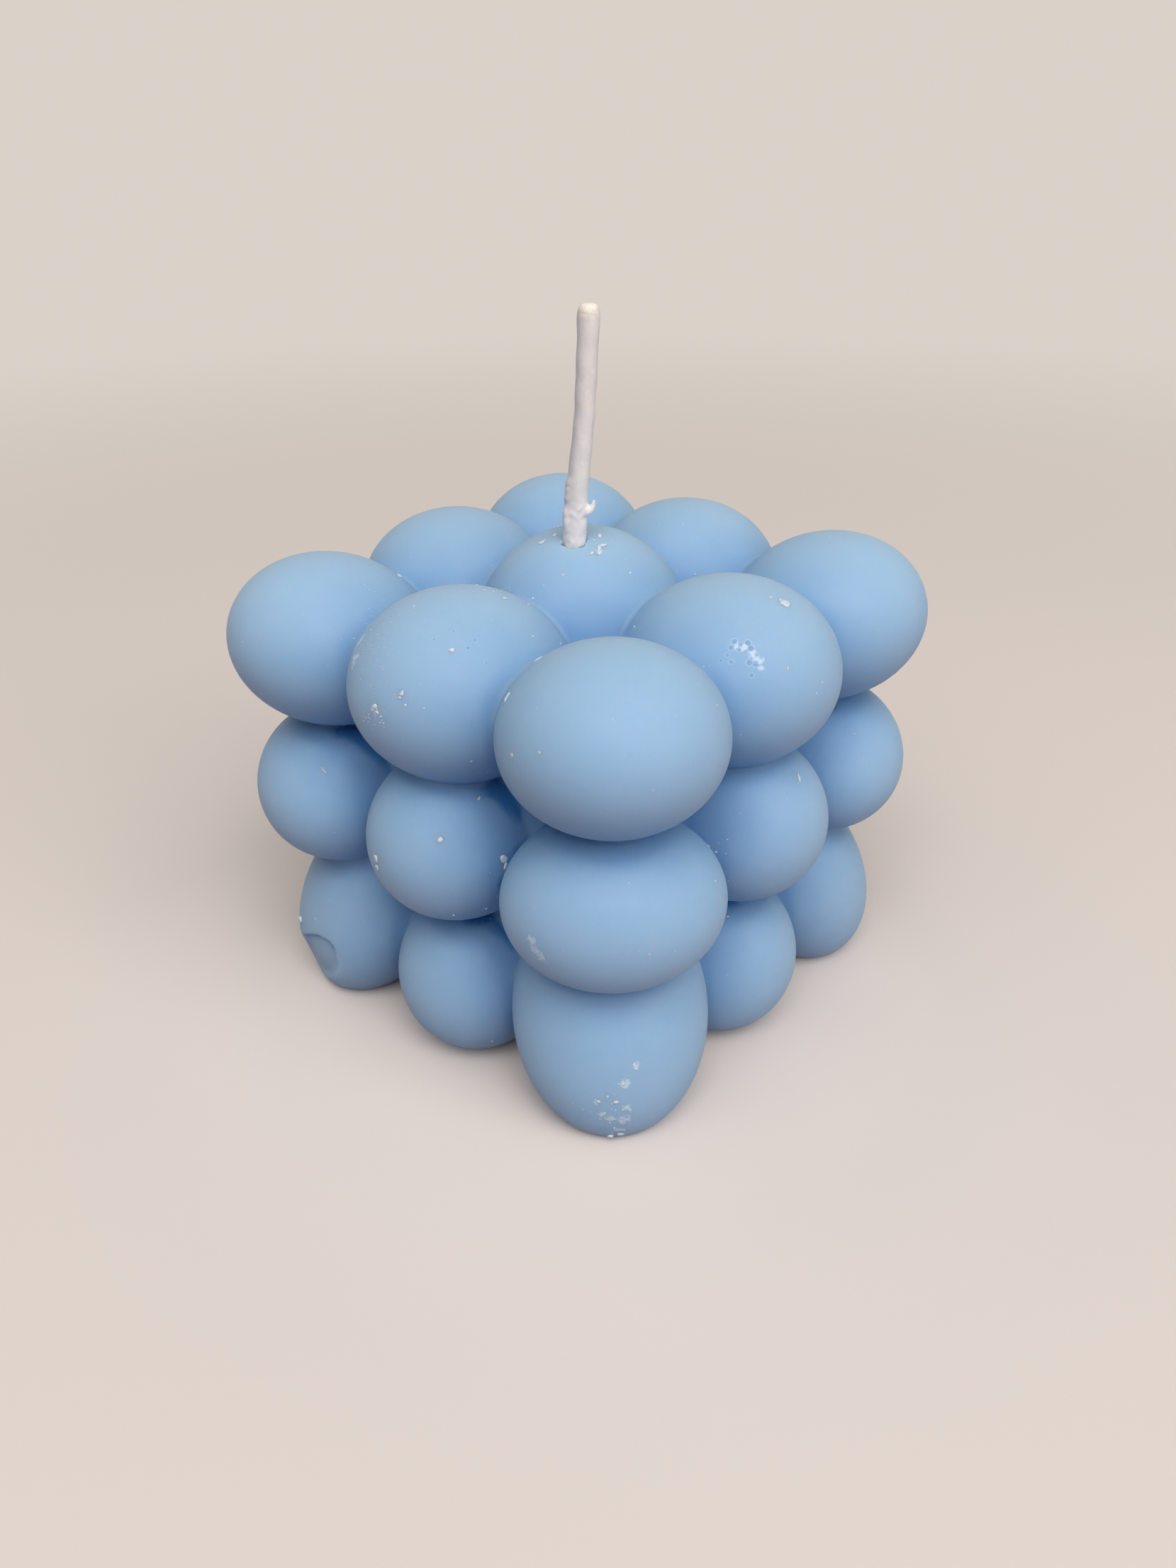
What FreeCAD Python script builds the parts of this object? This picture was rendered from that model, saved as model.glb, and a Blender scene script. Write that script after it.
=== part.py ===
# Bubble cube candle: one block of poured wax, three by three by three rounded lobes around a
# square core, and the waxed wick that the block was poured around.
# Millimetres, +Z up. The origin is the middle of the base, on the surface the candle stands on.
# The cube's sides face along X and Y, so its upright edges stand on the diagonals.
import FreeCAD, Part
import math
import os

import Sketcher

doc = FreeCAD.newDocument("BubbleCubeCandle")

# Every driving dimension: alias, value in millimetres or degrees, and what it measures.
# A lobe has three radii: out from the middle of the candle, sideways, and tall.
SIZES = [
    ("foot_cut", 0.7, "how deep the table's level cuts into the bottom edge lobes"),
    ("lower_rise", 18.7, "bottom row of lobes to middle row"),
    ("upper_rise", 16.5, "middle row of lobes to top row"),
    ("bottom_corner_lift", 1.75, "bottom corner lobes above their row"),
    ("middle_corner_drop", 0.8, "middle corner lobes below their row"),
    ("core_reach", 20.0, "half the width of the square core"),
    ("top_corner_reach", 19.5, "top corner lobes from the middle, along X and along Y"),
    ("top_edge_reach", 19.3, "top edge lobes from the middle"),
    ("middle_corner_reach", 20.0, "middle corner lobes from the middle, along X and along Y"),
    ("middle_face_reach", 20.9, "middle face lobes from the middle"),
    ("bottom_corner_reach", 17.9, "bottom corner lobes from the middle, along X and along Y"),
    ("bottom_edge_reach", 19.7, "bottom edge lobes from the middle"),
    ("top_corner_out", 11.15, "top corner lobe, radius outward"),
    ("top_corner_side", 10.9, "top corner lobe, radius sideways"),
    ("top_corner_tall", 9.15, "top corner lobe, radius upward"),
    ("top_corner_lean_angle", 10.0, "degrees that its outer end is raised"),
    ("top_edge_out", 11.5, "top edge lobe, radius outward"),
    ("top_edge_side", 11.3, "top edge lobe, radius sideways"),
    ("top_edge_tall", 9.6, "top edge lobe, radius upward"),
    ("top_centre_wide", 11.7, "top centre lobe, level radius"),
    ("top_centre_tall", 11.1, "top centre lobe, radius upward"),
    ("middle_corner_out", 9.6, "middle corner lobe, radius outward"),
    ("middle_corner_side", 11.2, "middle corner lobe, radius sideways"),
    ("middle_corner_tall", 8.9, "middle corner lobe, radius upward"),
    ("middle_face_out", 10.2, "middle face lobe, radius outward"),
    ("middle_face_side", 9.5, "middle face lobe, radius sideways"),
    ("middle_face_tall", 9.4, "middle face lobe, radius upward"),
    ("bottom_corner_out", 9.1, "bottom corner lobe, radius outward"),
    ("bottom_corner_side", 10.4, "bottom corner lobe, radius sideways"),
    ("bottom_corner_tall", 13.5, "bottom corner lobe, radius upward"),
    ("bottom_corner_lean_angle", 28.6, "degrees that its outer end is raised"),
    ("bottom_edge_out", 9.0, "bottom edge and centre lobes, radius outward"),
    ("bottom_edge_side", 8.9, "bottom edge and centre lobes, radius sideways"),
    ("bottom_edge_tall", 9.7, "bottom edge and centre lobes, radius upward"),
    ("chip_around_angle", 260.2, "degrees around its corner lobe at which the chip lies"),
    ("chip_inward", 1.45, "middle of the chip in from the side of its lobe"),
    ("chip_below", 4.45, "middle of the chip below the middle of its lobe"),
    ("chip_roll_angle", 40.2, "degrees that the chip's upper edge slopes"),
    ("chip_tilt_angle", 11.0, "degrees that the chip leans out at its foot"),
    ("chip_deep", 1.65, "chip, radius into the wax"),
    ("chip_long", 5.4, "chip, radius along its upper edge"),
    ("chip_tall", 2.75, "chip, radius up and down"),
    ("wick_thick", 2.3, "wick diameter"),
    ("wick_aside_x", 1.1, "wick from the middle of the candle along X"),
    ("wick_aside_y", -2.6, "wick from the middle of the candle along Y"),
    ("wick_turn_angle", 39.2, "degrees from X to the way in which the wick leans"),
    ("wick_upright", 1.3, "top of the wax to the wick's first bend"),
    ("wick_middle", 8.0, "straight run between the two bends"),
    ("wick_length", 23.1, "top of the wax to the tip, straight up"),
    ("wick_lean_low_angle", 6.0, "degrees from upright between the bends"),
    ("wick_lean_high_angle", 2.9, "degrees from upright above the second bend"),
    ("wick_bend", 30.0, "radius of the bends"),
    ("wick_tip_round", 0.4, "rounding of the cut tip"),
]

sheet = doc.addObject("Spreadsheet::Sheet", "Sizes")
for row, (alias, value, meaning) in enumerate(SIZES, start=1):
    sheet.set(f"A{row}", meaning)
    sheet.set(f"B{row}", str(value))
    sheet.setAlias(f"B{row}", alias)
doc.recompute()

# Heights above the table, as formulas on the sheet.
BOTTOM_ROW = "(Sizes.bottom_edge_tall - Sizes.foot_cut)"
MIDDLE_ROW = f"({BOTTOM_ROW} + Sizes.lower_rise)"
TOP_ROW = f"({MIDDLE_ROW} + Sizes.upper_rise)"
WAX_TOP = f"({TOP_ROW} + Sizes.top_centre_tall)"

# The four ways that corner lobes and edge lobes face: degrees from X, then signs along X and Y.
CORNERS = [(45, 1, 1), (135, -1, 1), (225, -1, -1), (315, 1, -1)]
EDGES = [(0, 1, 0), (90, 0, 1), (180, -1, 0), (270, 0, -1)]


def add_box(name, half_width, bottom, height):
    """A square block around the candle's middle line."""
    box = doc.addObject("Part::Box", name)
    box.setExpression("Length", f"2 * {half_width}")
    box.setExpression("Width", f"2 * {half_width}")
    box.setExpression("Height", height)
    box.setExpression("Placement.Base.x", f"-{half_width}")
    box.setExpression("Placement.Base.y", f"-{half_width}")
    box.setExpression("Placement.Base.z", bottom)
    return box


def add_ellipsoid(name, radii, place, rotation):
    """An egg-shaped solid. All sizes are formulas; radii go outward, sideways and upward."""
    solid = doc.addObject("Part::Ellipsoid", name)
    for size, formula in zip(("Radius2", "Radius3", "Radius1"), radii):
        solid.setExpression(size, formula)
    x, y, z = place
    solid.setExpression("Placement", f"placement(vector({x}; {y}; {z}); {rotation})")
    return solid


def turned(degrees, lean="0"):
    """Facing some degrees from X, with the outer end raised by the lean."""
    return f"rotation(vector(0; 0; 1); {degrees}) * rotation(vector(0; 1; 0); -({lean}))"


def radii_of(kind):
    """The three radii of one kind of lobe."""
    return [f"Sizes.{kind}_{way}" for way in ("out", "side", "tall")]


def add_ring(name, ways, kind, height, lean="0"):
    """Four lobes of one kind, one on each corner or on each side."""
    reach = f"Sizes.{kind}_reach"
    return [
        add_ellipsoid(
            f"{name}{number}",
            radii_of(kind),
            (f"{sign_x} * {reach}", f"{sign_y} * {reach}", height),
            turned(degrees, lean),
        )
        for number, (degrees, sign_x, sign_y) in enumerate(ways, start=1)
    ]


def top_row():
    """Nine lobes, the widest ones, with the tallest under the wick."""
    centre_radii = ["Sizes.top_centre_wide", "Sizes.top_centre_wide", "Sizes.top_centre_tall"]
    corners = add_ring("TopCorner", CORNERS, "top_corner", TOP_ROW, "Sizes.top_corner_lean_angle")
    edges = add_ring("TopEdge", EDGES, "top_edge", TOP_ROW)
    centre = add_ellipsoid("TopCentre", centre_radii, ("0", "0", TOP_ROW), turned(0))
    return [*corners, *edges, centre]


def middle_row():
    """Eight lobes around the core: flattened ones on the corners, rounder ones on the sides."""
    corner_height = f"{MIDDLE_ROW} - Sizes.middle_corner_drop"
    corners = add_ring("MiddleCorner", CORNERS, "middle_corner", corner_height)
    faces = add_ring("MiddleFace", EDGES, "middle_face", MIDDLE_ROW)
    return [*corners, *faces]


def bottom_row():
    """Nine lobes. Those on the corners are drawn out downward and outward."""
    corner_height = f"{BOTTOM_ROW} + Sizes.bottom_corner_lift"
    corner_lean = "Sizes.bottom_corner_lean_angle"
    corners = add_ring("BottomCorner", CORNERS, "bottom_corner", corner_height, corner_lean)
    edges = add_ring("BottomEdge", EDGES, "bottom_edge", BOTTOM_ROW)
    place = ("0", "0", BOTTOM_ROW)
    centre = add_ellipsoid("BottomCentre", radii_of("bottom_edge"), place, turned(0))
    return [*corners, *edges, centre]


def add_chip():
    """The small scoop broken out of one bottom corner lobe."""
    reach = "(Sizes.bottom_corner_side - Sizes.chip_inward)"
    radii = ["Sizes.chip_deep", "Sizes.chip_long", "Sizes.chip_tall"]
    place = (
        f"-Sizes.bottom_corner_reach + {reach} * cos(Sizes.chip_around_angle * 1deg)",
        f"-Sizes.bottom_corner_reach + {reach} * sin(Sizes.chip_around_angle * 1deg)",
        f"{BOTTOM_ROW} + Sizes.bottom_corner_lift - Sizes.chip_below",
    )
    rotation = (
        "rotation(vector(0; 0; 1); Sizes.chip_around_angle) * "
        "rotation(vector(1; 0; 0); Sizes.chip_roll_angle) * "
        "rotation(vector(0; 1; 0); Sizes.chip_tilt_angle)"
    )
    return add_ellipsoid("Chip", radii, place, rotation)


def origin_plane(body, role):
    """One of a body's own origin planes."""
    return next(plane for plane in body.Origin.OriginFeatures if plane.Role == role)


def add_sketch(body, name, role):
    """A sketch on one of a body's own origin planes."""
    sketch = body.newObject("Sketcher::SketchObject", name)
    sketch.AttachmentSupport = (origin_plane(body, role), [""])
    sketch.MapMode = "FlatFace"
    return sketch


def across(lean):
    """Level with the lean: square to a run that leans so many radians from upright."""
    return FreeCAD.Vector(math.cos(lean), -math.sin(lean), 0)


def along(lean):
    """The way of a run that leans so many radians from upright."""
    return FreeCAD.Vector(math.sin(lean), math.cos(lean), 0)


def draw_wick_line(body):
    """The wick's middle line, in the upright plane in which it leans.

    It stands upright through the wax, bends over a little just above it, and bends part of
    the way back higher up: three runs and two arcs.
    """
    line = add_sketch(body, "WickLine", "XZ_Plane")
    bend = sheet.wick_bend
    low = math.radians(sheet.wick_lean_low_angle)
    high = math.radians(sheet.wick_lean_high_angle)
    wax_top = sheet.bottom_edge_tall - sheet.foot_cut + sheet.lower_rise + sheet.upper_rise
    wax_top += sheet.top_centre_tall
    base = FreeCAD.Vector(0, 0, 0)
    first_start = base + along(0) * (wax_top + sheet.wick_upright)
    first_centre = first_start + across(0) * bend
    first_end = first_centre - across(low) * bend
    second_start = first_end + along(low) * sheet.wick_middle
    second_centre = second_start - across(low) * bend
    second_end = second_centre + across(high) * bend
    rest = wax_top + sheet.wick_length - second_end.y
    tip = second_end + along(high) * (rest / math.cos(high))
    level = FreeCAD.Vector(0, 0, 1)

    def add_run(start, end):
        return line.addGeometry(Part.LineSegment(start, end), False)

    def add_arc(centre, start_angle, end_angle):
        circle = Part.Circle(centre, level, bend)
        return line.addGeometry(Part.ArcOfCircle(circle, start_angle, end_angle), False)

    upright = add_run(base, first_start)
    first_bend = add_arc(first_centre, math.pi - low, math.pi)
    leaning = add_run(first_end, second_start)
    second_bend = add_arc(second_centre, -low, -high)
    free_end = add_run(second_end, tip)

    # An arc's first point is the one that comes first going anticlockwise.
    joints = [
        (upright, 2, first_bend, 2),
        (first_bend, 1, leaning, 1),
        (leaning, 2, second_bend, 1),
        (second_bend, 2, free_end, 1),
    ]
    for joint in joints:
        line.addConstraint(Sketcher.Constraint("Tangent", *joint))
    line.addConstraint(Sketcher.Constraint("Coincident", upright, 1, -1, 1))
    line.addConstraint(Sketcher.Constraint("Vertical", upright))
    measured = [
        ("Distance", (upright, wax_top + sheet.wick_upright), f"{WAX_TOP} + Sizes.wick_upright"),
        ("Radius", (first_bend, bend), "Sizes.wick_bend"),
        ("Radius", (second_bend, bend), "Sizes.wick_bend"),
        ("Distance", (leaning, sheet.wick_middle), "Sizes.wick_middle"),
        ("Angle", (leaning, 1, upright, 1, low), "Sizes.wick_lean_low_angle * 1deg"),
        ("Angle", (free_end, 1, upright, 1, high), "Sizes.wick_lean_high_angle * 1deg"),
        ("DistanceY", (-1, 1, free_end, 2, tip.y), f"{WAX_TOP} + Sizes.wick_length"),
    ]
    for kind, where, formula in measured:
        number = line.addConstraint(Sketcher.Constraint(kind, *where))
        line.setExpression(f"Constraints[{number}]", formula)
    return line


def draw_wick_section(body):
    """The wick's round section, on the table."""
    section = add_sketch(body, "WickSection", "XY_Plane")
    middle = FreeCAD.Vector(0, 0, 0)
    level = FreeCAD.Vector(0, 0, 1)
    circle = section.addGeometry(Part.Circle(middle, level, sheet.wick_thick / 2), False)
    section.addConstraint(Sketcher.Constraint("Coincident", circle, 3, -1, 1))
    number = section.addConstraint(Sketcher.Constraint("Diameter", circle, sheet.wick_thick))
    section.setExpression(f"Constraints[{number}]", "Sizes.wick_thick")
    return section


def top_edge_name(solid):
    """The name of the highest edge of a shape, which bounds its upper end."""
    heights = [edge.CenterOfMass.z for edge in solid.Edges]
    return f"Edge{heights.index(max(heights)) + 1}"


def make_wick():
    """The wick, flush with the base below and standing out of the top lobe."""
    body = doc.addObject("PartDesign::Body", "Wick")
    line = draw_wick_line(body)
    section = draw_wick_section(body)
    doc.recompute()
    rod = body.newObject("PartDesign::AdditivePipe", "WickRod")
    rod.Profile = section
    rod.Spine = line
    doc.recompute()
    rounding = body.newObject("PartDesign::Fillet", "WickTip")
    rounding.Base = (rod, [top_edge_name(rod.Shape)])
    rounding.setExpression("Radius", "Sizes.wick_tip_round")
    body.Tip = rounding
    body.setExpression(
        "Placement",
        "placement(vector(Sizes.wick_aside_x; Sizes.wick_aside_y; 0); "
        "rotation(vector(0; 0; 1); Sizes.wick_turn_angle))",
    )
    body.Label = "wick"
    return body


def make_wax_body(wick):
    """The wax: all lobes run into one another and into the core, cut level at the table."""
    core = add_box("Core", "Sizes.core_reach", BOTTOM_ROW, "Sizes.lower_rise + Sizes.upper_rise")
    block = doc.addObject("Part::MultiFuse", "Block")
    block.Shapes = [core, *top_row(), *middle_row(), *bottom_row()]
    below = add_box("BelowTable", "3 * Sizes.core_reach", f"-3 * {BOTTOM_ROW}", f"3 * {BOTTOM_ROW}")
    removed = doc.addObject("Part::MultiFuse", "Removed")
    removed.Shapes = [below, add_chip()]
    standing = doc.addObject("Part::Cut", "Standing")
    standing.Base = block
    standing.Tool = removed
    wax = doc.addObject("Part::Cut", "WaxBody")
    wax.Base = standing
    wax.Tool = wick
    wax.Label = "wax_body"
    return wax


def check_document():
    """Every object of the document must have been made without an error."""
    for item in doc.Objects:
        if "Invalid" in item.State or "Error" in item.State:
            raise RuntimeError(f"{item.Name} failed: {item.State}")


def write_part(part):
    """Check one finished piece and write it under its label."""
    shape = part.Shape
    if shape.isNull() or not shape.isValid() or len(shape.Solids) != 1:
        raise RuntimeError(f"{part.Label} is not one sound solid")
    shape.exportStep(f"parts/{part.Label}.step")
    print(f"{part.Label}: {shape.Volume / 1000:.2f} cm3, top at {shape.BoundBox.ZMax:.2f} mm")


wick = make_wick()
wax_body = make_wax_body(wick)
doc.recompute()
check_document()
os.makedirs("parts", exist_ok=True)
for part in (wax_body, wick):
    write_part(part)
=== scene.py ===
# The looks of the bubble cube candle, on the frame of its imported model. Lengths here are in
# millimetres until a mesh is made, and pixels are those of the 1659 by 2212 photograph.
# The wax and the wick are fields: functions that give, for any points, the distance out of the
# piece and the way straight out of it. Bubbles are joined and the chip is carved as fields, and
# each field then becomes one mesh. Crumbs are laid where a pixel's line of sight meets the wax.
import itertools
import math

import bpy
import numpy as np
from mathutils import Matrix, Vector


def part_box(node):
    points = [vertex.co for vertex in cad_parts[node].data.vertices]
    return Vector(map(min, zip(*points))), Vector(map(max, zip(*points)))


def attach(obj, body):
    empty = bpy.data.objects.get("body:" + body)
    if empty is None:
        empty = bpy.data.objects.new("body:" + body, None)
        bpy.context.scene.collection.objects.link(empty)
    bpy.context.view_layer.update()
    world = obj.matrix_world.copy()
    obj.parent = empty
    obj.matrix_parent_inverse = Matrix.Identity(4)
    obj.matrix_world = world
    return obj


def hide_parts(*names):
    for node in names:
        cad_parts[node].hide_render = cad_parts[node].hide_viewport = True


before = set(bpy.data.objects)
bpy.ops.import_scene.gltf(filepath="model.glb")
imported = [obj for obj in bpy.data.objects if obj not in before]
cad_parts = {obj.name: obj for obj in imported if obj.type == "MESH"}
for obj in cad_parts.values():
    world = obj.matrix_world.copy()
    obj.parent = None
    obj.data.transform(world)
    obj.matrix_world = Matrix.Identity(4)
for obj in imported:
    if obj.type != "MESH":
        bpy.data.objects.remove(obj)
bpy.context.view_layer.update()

METRES = 0.001

# Keeps a length that is divided by from being nothing.
TINY = 1e-9

# The camera, as it stood over the candle: its place, its direction in degrees, and its focal
# length in pixels. Its sensor has a usual width.
PHOTO_WIDTH = 1659
PHOTO_HEIGHT = 2212
CAMERA_PLACE = np.array((81.2, -97.9, 95.0))
CAMERA_AZIMUTH = 39.53
CAMERA_ELEVATION = 29.14
CAMERA_ROLL = -0.65
FOCAL_PIXELS = 1722.0
SENSOR = 36.0
# Nothing nearer to the camera than this many metres is seen.
NEAREST_SEEN = 0.005

# Heights of the three rows of bubbles, and how far the square core reaches.
BOTTOM_ROW = 9.0
MIDDLE_ROW = 27.7
TOP_ROW = 44.2
CORE_REACH = 20.0

# Each kind of bubble: distance of its centre from the middle, height, lean in degrees, and its
# radii outward, sideways and upward.
TOP_CORNER = (19.5, TOP_ROW, 10.0, (11.15, 10.9, 9.15))
TOP_EDGE = (19.3, TOP_ROW, 0.0, (11.5, 11.3, 9.6))
TOP_CENTRE = (0.0, TOP_ROW, 0.0, (11.7, 11.7, 11.1))
MIDDLE_CORNER = (20.0, MIDDLE_ROW - 0.8, 0.0, (9.6, 11.2, 8.9))
MIDDLE_FACE = (20.9, MIDDLE_ROW, 0.0, (10.2, 9.5, 9.4))
BOTTOM_CORNER = (17.9, BOTTOM_ROW + 1.75, 28.6, (9.1, 10.4, 13.5))
BOTTOM_EDGE = (19.7, BOTTOM_ROW, 0.0, (9.0, 8.9, 9.7))
BOTTOM_CENTRE = (0.0, BOTTOM_ROW, 0.0, (9.0, 8.9, 9.7))

# The ways that corner, edge and centre bubbles face: degrees, then signs along X and Y.
CORNERS = ((45, 1, 1), (135, -1, 1), (225, -1, -1), (315, 1, -1))
EDGES = ((0, 1, 0), (90, 0, 1), (180, -1, 0), (270, 0, -1))
CENTRE = ((0, 0, 0),)

# How softly the bubbles run into each other, and how softly cut edges end.
CREASE = 0.32
RIM = 0.1
# How far from all shapes a field levels off. A shape counts only within half of that.
FAR = 6.0

# The wick: where it stands in the wax, the way it leans in degrees from X, the heights at which
# it starts and stops bending and how far it leans there, its tip, the radius of the wax's bore
# for it, its own radius at some heights, and how round its tip is.
WICK_X = 1.1
WICK_Y = -2.6
WICK_TURN = 39.2
WICK_BENDS = (55.0, 58.1, 67.7, 69.3)
WICK_LEANS = (0.0, 6.0, 6.0, 2.9)
WICK_TIP = 78.35
WICK_BORE = 1.15
WICK_HEIGHTS = (53.0, 54.5, 56.5, 61.0, 66.0, 75.0, 76.4, 77.2, 77.9, 78.4)
WICK_RADII = (1.08, 1.22, 1.22, 1.14, 1.06, 1.06, 1.13, 1.15, 1.12, 1.0)
TIP_ROUND = 0.34
# Into how many steps its bent middle line is cut.
WICK_STEPS = 400

# The wick's unevenness, each as a seed and the length and height of its waves: long waves all
# the way up, and short ones in the crust of wax, which thins out between two heights.
LONG_WAVES = (5, 2.4, 0.025)
CRUST_WAVES = (6, 0.75, 0.03)
CRUST_HEIGHTS = (58.5, 60.5)
CRUST_SHARES = (1.0, 0.15)

# How softly the lumps of wax on the wick run into each other, and into the wick.
LUMP_CREASE = 0.12
LUMP_SEAT = 0.2


def turn_matrix(axis, degrees):
    """The matrix of a turn about X (0), Y (1) or Z (2)."""
    angle = math.radians(degrees)
    matrix = np.eye(3)
    first, second = (axis + 1) % 3, (axis + 2) % 3
    matrix[first, first] = matrix[second, second] = math.cos(angle)
    matrix[second, first] = math.sin(angle)
    matrix[first, second] = -math.sin(angle)
    return matrix


def bubbles_of(kind, ways):
    """Centre, axes and radii of each bubble of one kind."""
    reach, height, lean, radii = kind
    for degrees, sign_x, sign_y in ways:
        centre = np.array((sign_x * reach, sign_y * reach, height))
        yield centre, turn_matrix(2, degrees) @ turn_matrix(1, -lean), np.array(radii)


BUBBLES = [
    *bubbles_of(TOP_CORNER, CORNERS),
    *bubbles_of(TOP_EDGE, EDGES),
    *bubbles_of(TOP_CENTRE, CENTRE),
    *bubbles_of(MIDDLE_CORNER, CORNERS),
    *bubbles_of(MIDDLE_FACE, EDGES),
    *bubbles_of(BOTTOM_CORNER, CORNERS),
    *bubbles_of(BOTTOM_EDGE, EDGES),
    *bubbles_of(BOTTOM_CENTRE, CENTRE),
]

# The chip broken out of the bubble at the candle's left bottom corner: an egg shape taken out of
# the wax, with a rim that is softer the lower it is.
CHIP_CENTRE = np.array((-19.6, -26.8, 5.95))
CHIP_AXES = turn_matrix(2, 259.8) @ turn_matrix(0, 40.2) @ turn_matrix(1, 11.0)
CHIP_RADII = np.array((1.65, 5.2, 2.65))
CHIP_HEIGHTS = (4.2, 6.6, 7.9)
CHIP_SOFTNESS = (0.7, 0.5, 0.22)
# How deep under the bubble its floor lies, and how softly its sides run into that floor.
CHIP_DEPTH = 0.8
CHIP_FLOOR = 0.4


def ellipsoid_field(points, centre, axes, radii):
    """Distance out of an egg shape, and the way straight out of it, at each point."""
    scaled = (points - centre) @ axes / radii
    steep = scaled / radii
    size = np.linalg.norm(scaled, axis=1)
    slope = np.maximum(np.linalg.norm(steep, axis=1), TINY)
    return size * (size - 1) / slope, steep / slope[:, None] @ axes.T


def box_field(points, centre, half):
    """Distance out of a box, and the way straight out of it, at each point."""
    offset = points - centre
    depth = np.abs(offset) - half
    beyond = np.maximum(depth, 0)
    length = np.linalg.norm(beyond, axis=1)
    deepest = depth.max(axis=1)
    nearest = (depth == deepest[:, None]).astype(float)
    way = np.where(length[:, None] > 0, beyond / np.maximum(length, TINY)[:, None], nearest)
    return length + np.minimum(deepest, 0), way * np.sign(offset)


def joined(shapes, softness, points):
    """Distance out of several shapes that run into each other, and the way out of them."""
    total = np.full(len(points), math.exp(-FAR / softness))
    way = np.zeros_like(points)
    for shape, sizes in shapes:
        reach = sizes[-1].max() + FAR / 2
        near = np.flatnonzero((np.abs(points - sizes[0]) < reach).all(axis=1))
        part_distance, part_way = shape(points[near], *sizes)
        weight = np.exp(-part_distance / softness)
        total[near] += weight
        way[near] += weight[:, None] * part_way
    return -softness * np.log(total), way / total[:, None]


def carve(distance, way, tool_distance, tool_way, softness):
    """Takes a tool's shape out of a field, with an edge rounded by the softness."""
    first, second = distance / softness, -tool_distance / softness
    both = np.logaddexp(first, second)
    kept = np.exp(first - both)[:, None]
    return both * softness, kept * way - (1 - kept) * tool_way


def level_field(points, height, sign):
    """Distance above (1) or below (-1) a level plane, and the way away from it."""
    way = np.zeros_like(points)
    way[:, 2] = sign
    return sign * (points[:, 2] - height), way


# How many waves a ripple is the sum of.
WAVES = 10


def ripple(points, seed, length, height):
    """A gentle unevenness and its slope at each point: waves that run in random ways."""
    random = np.random.default_rng(seed)
    ways = random.normal(size=(WAVES, 3))
    ways *= 2 * math.pi / length / np.linalg.norm(ways, axis=1, keepdims=True)
    angle = points @ ways.T + random.uniform(0, 2 * math.pi, WAVES)
    height = height / math.sqrt(WAVES)
    return np.cos(angle).sum(axis=1) * height, np.sin(angle) @ ways * -height


def wax_field(points):
    """Distance out of the wax, and the way straight out of it, at each point."""
    core_middle = np.array((0.0, 0.0, (BOTTOM_ROW + TOP_ROW) / 2))
    core_half = np.array((CORE_REACH, CORE_REACH, (TOP_ROW - BOTTOM_ROW) / 2))
    shapes = [(ellipsoid_field, bubble) for bubble in BUBBLES]
    shapes.append((box_field, (core_middle, core_half)))
    distance, way = joined(shapes, CREASE, points)
    chip = ellipsoid_field(points, CHIP_CENTRE, CHIP_AXES, CHIP_RADII)
    # What lies deeper than the floor is taken out of the egg shape, so it stays wax.
    chip = carve(*chip, distance + CHIP_DEPTH, way, CHIP_FLOOR)
    softness = np.interp(points[:, 2], CHIP_HEIGHTS, CHIP_SOFTNESS)
    distance, way = carve(distance, way, *chip, softness)
    aside = points - np.array((WICK_X, WICK_Y, 0.0))
    aside[:, 2] = 0
    out = np.maximum(np.linalg.norm(aside, axis=1), TINY)
    distance, way = carve(distance, way, out - WICK_BORE, aside / out[:, None], RIM)
    return carve(distance, way, *level_field(points, 0.0, 1), RIM)


def wick_line(heights):
    """The wick's middle at each height."""
    fine = np.linspace(0, WICK_TIP + 1, WICK_STEPS)
    slope = np.tan(np.radians(np.interp(fine, WICK_BENDS, WICK_LEANS)))
    lean = np.concatenate(([0], np.cumsum((slope[1:] + slope[:-1]) / 2 * np.diff(fine))))
    aside = np.interp(heights, fine, lean)
    turn = math.radians(WICK_TURN)
    x, y = WICK_X + aside * math.cos(turn), WICK_Y + aside * math.sin(turn)
    return np.stack((x, y, heights), axis=1)


def wick_field(points):
    """Distance out of the wick, with the wax that clings to it, and the way out of it."""
    aside = points - wick_line(points[:, 2])
    out = np.maximum(np.linalg.norm(aside, axis=1), TINY)
    radius = np.interp(points[:, 2], WICK_HEIGHTS, WICK_RADII)
    wave, wave_slope = ripple(points, *LONG_WAVES)
    rough, rough_slope = ripple(points, *CRUST_WAVES)
    crust = np.interp(points[:, 2], CRUST_HEIGHTS, CRUST_SHARES)[:, None]
    distance = out - radius + wave + crust[:, 0] * rough
    way = aside / out[:, None] + wave_slope + crust * rough_slope
    # Taken out of what is not wick, the lumps are added to the wick.
    lumps, lumps_way = joined(WICK_LUMPS, LUMP_CREASE, points)
    distance, way = carve(-distance, -way, lumps, lumps_way, LUMP_SEAT)
    distance, way = carve(-distance, -way, *level_field(points, WICK_TIP, -1), TIP_ROUND)
    return carve(distance, way, *level_field(points, 0.0, 1), RIM)


def grid_inside(field, low, high, step):
    """Which points of a grid that covers a box lie inside the field's surface."""
    along_x, along_y, along_z = (
        np.arange(start, end + step, step) for start, end in zip(low, high)
    )
    wall = np.stack(np.meshgrid([0.0], along_y, along_z, indexing="ij"), axis=-1).reshape(-1, 3)
    layers = [field(wall + (x, 0.0, 0.0))[0] < 0 for x in along_x]
    return np.reshape(layers, (len(along_x), len(along_y), len(along_z)))


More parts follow.
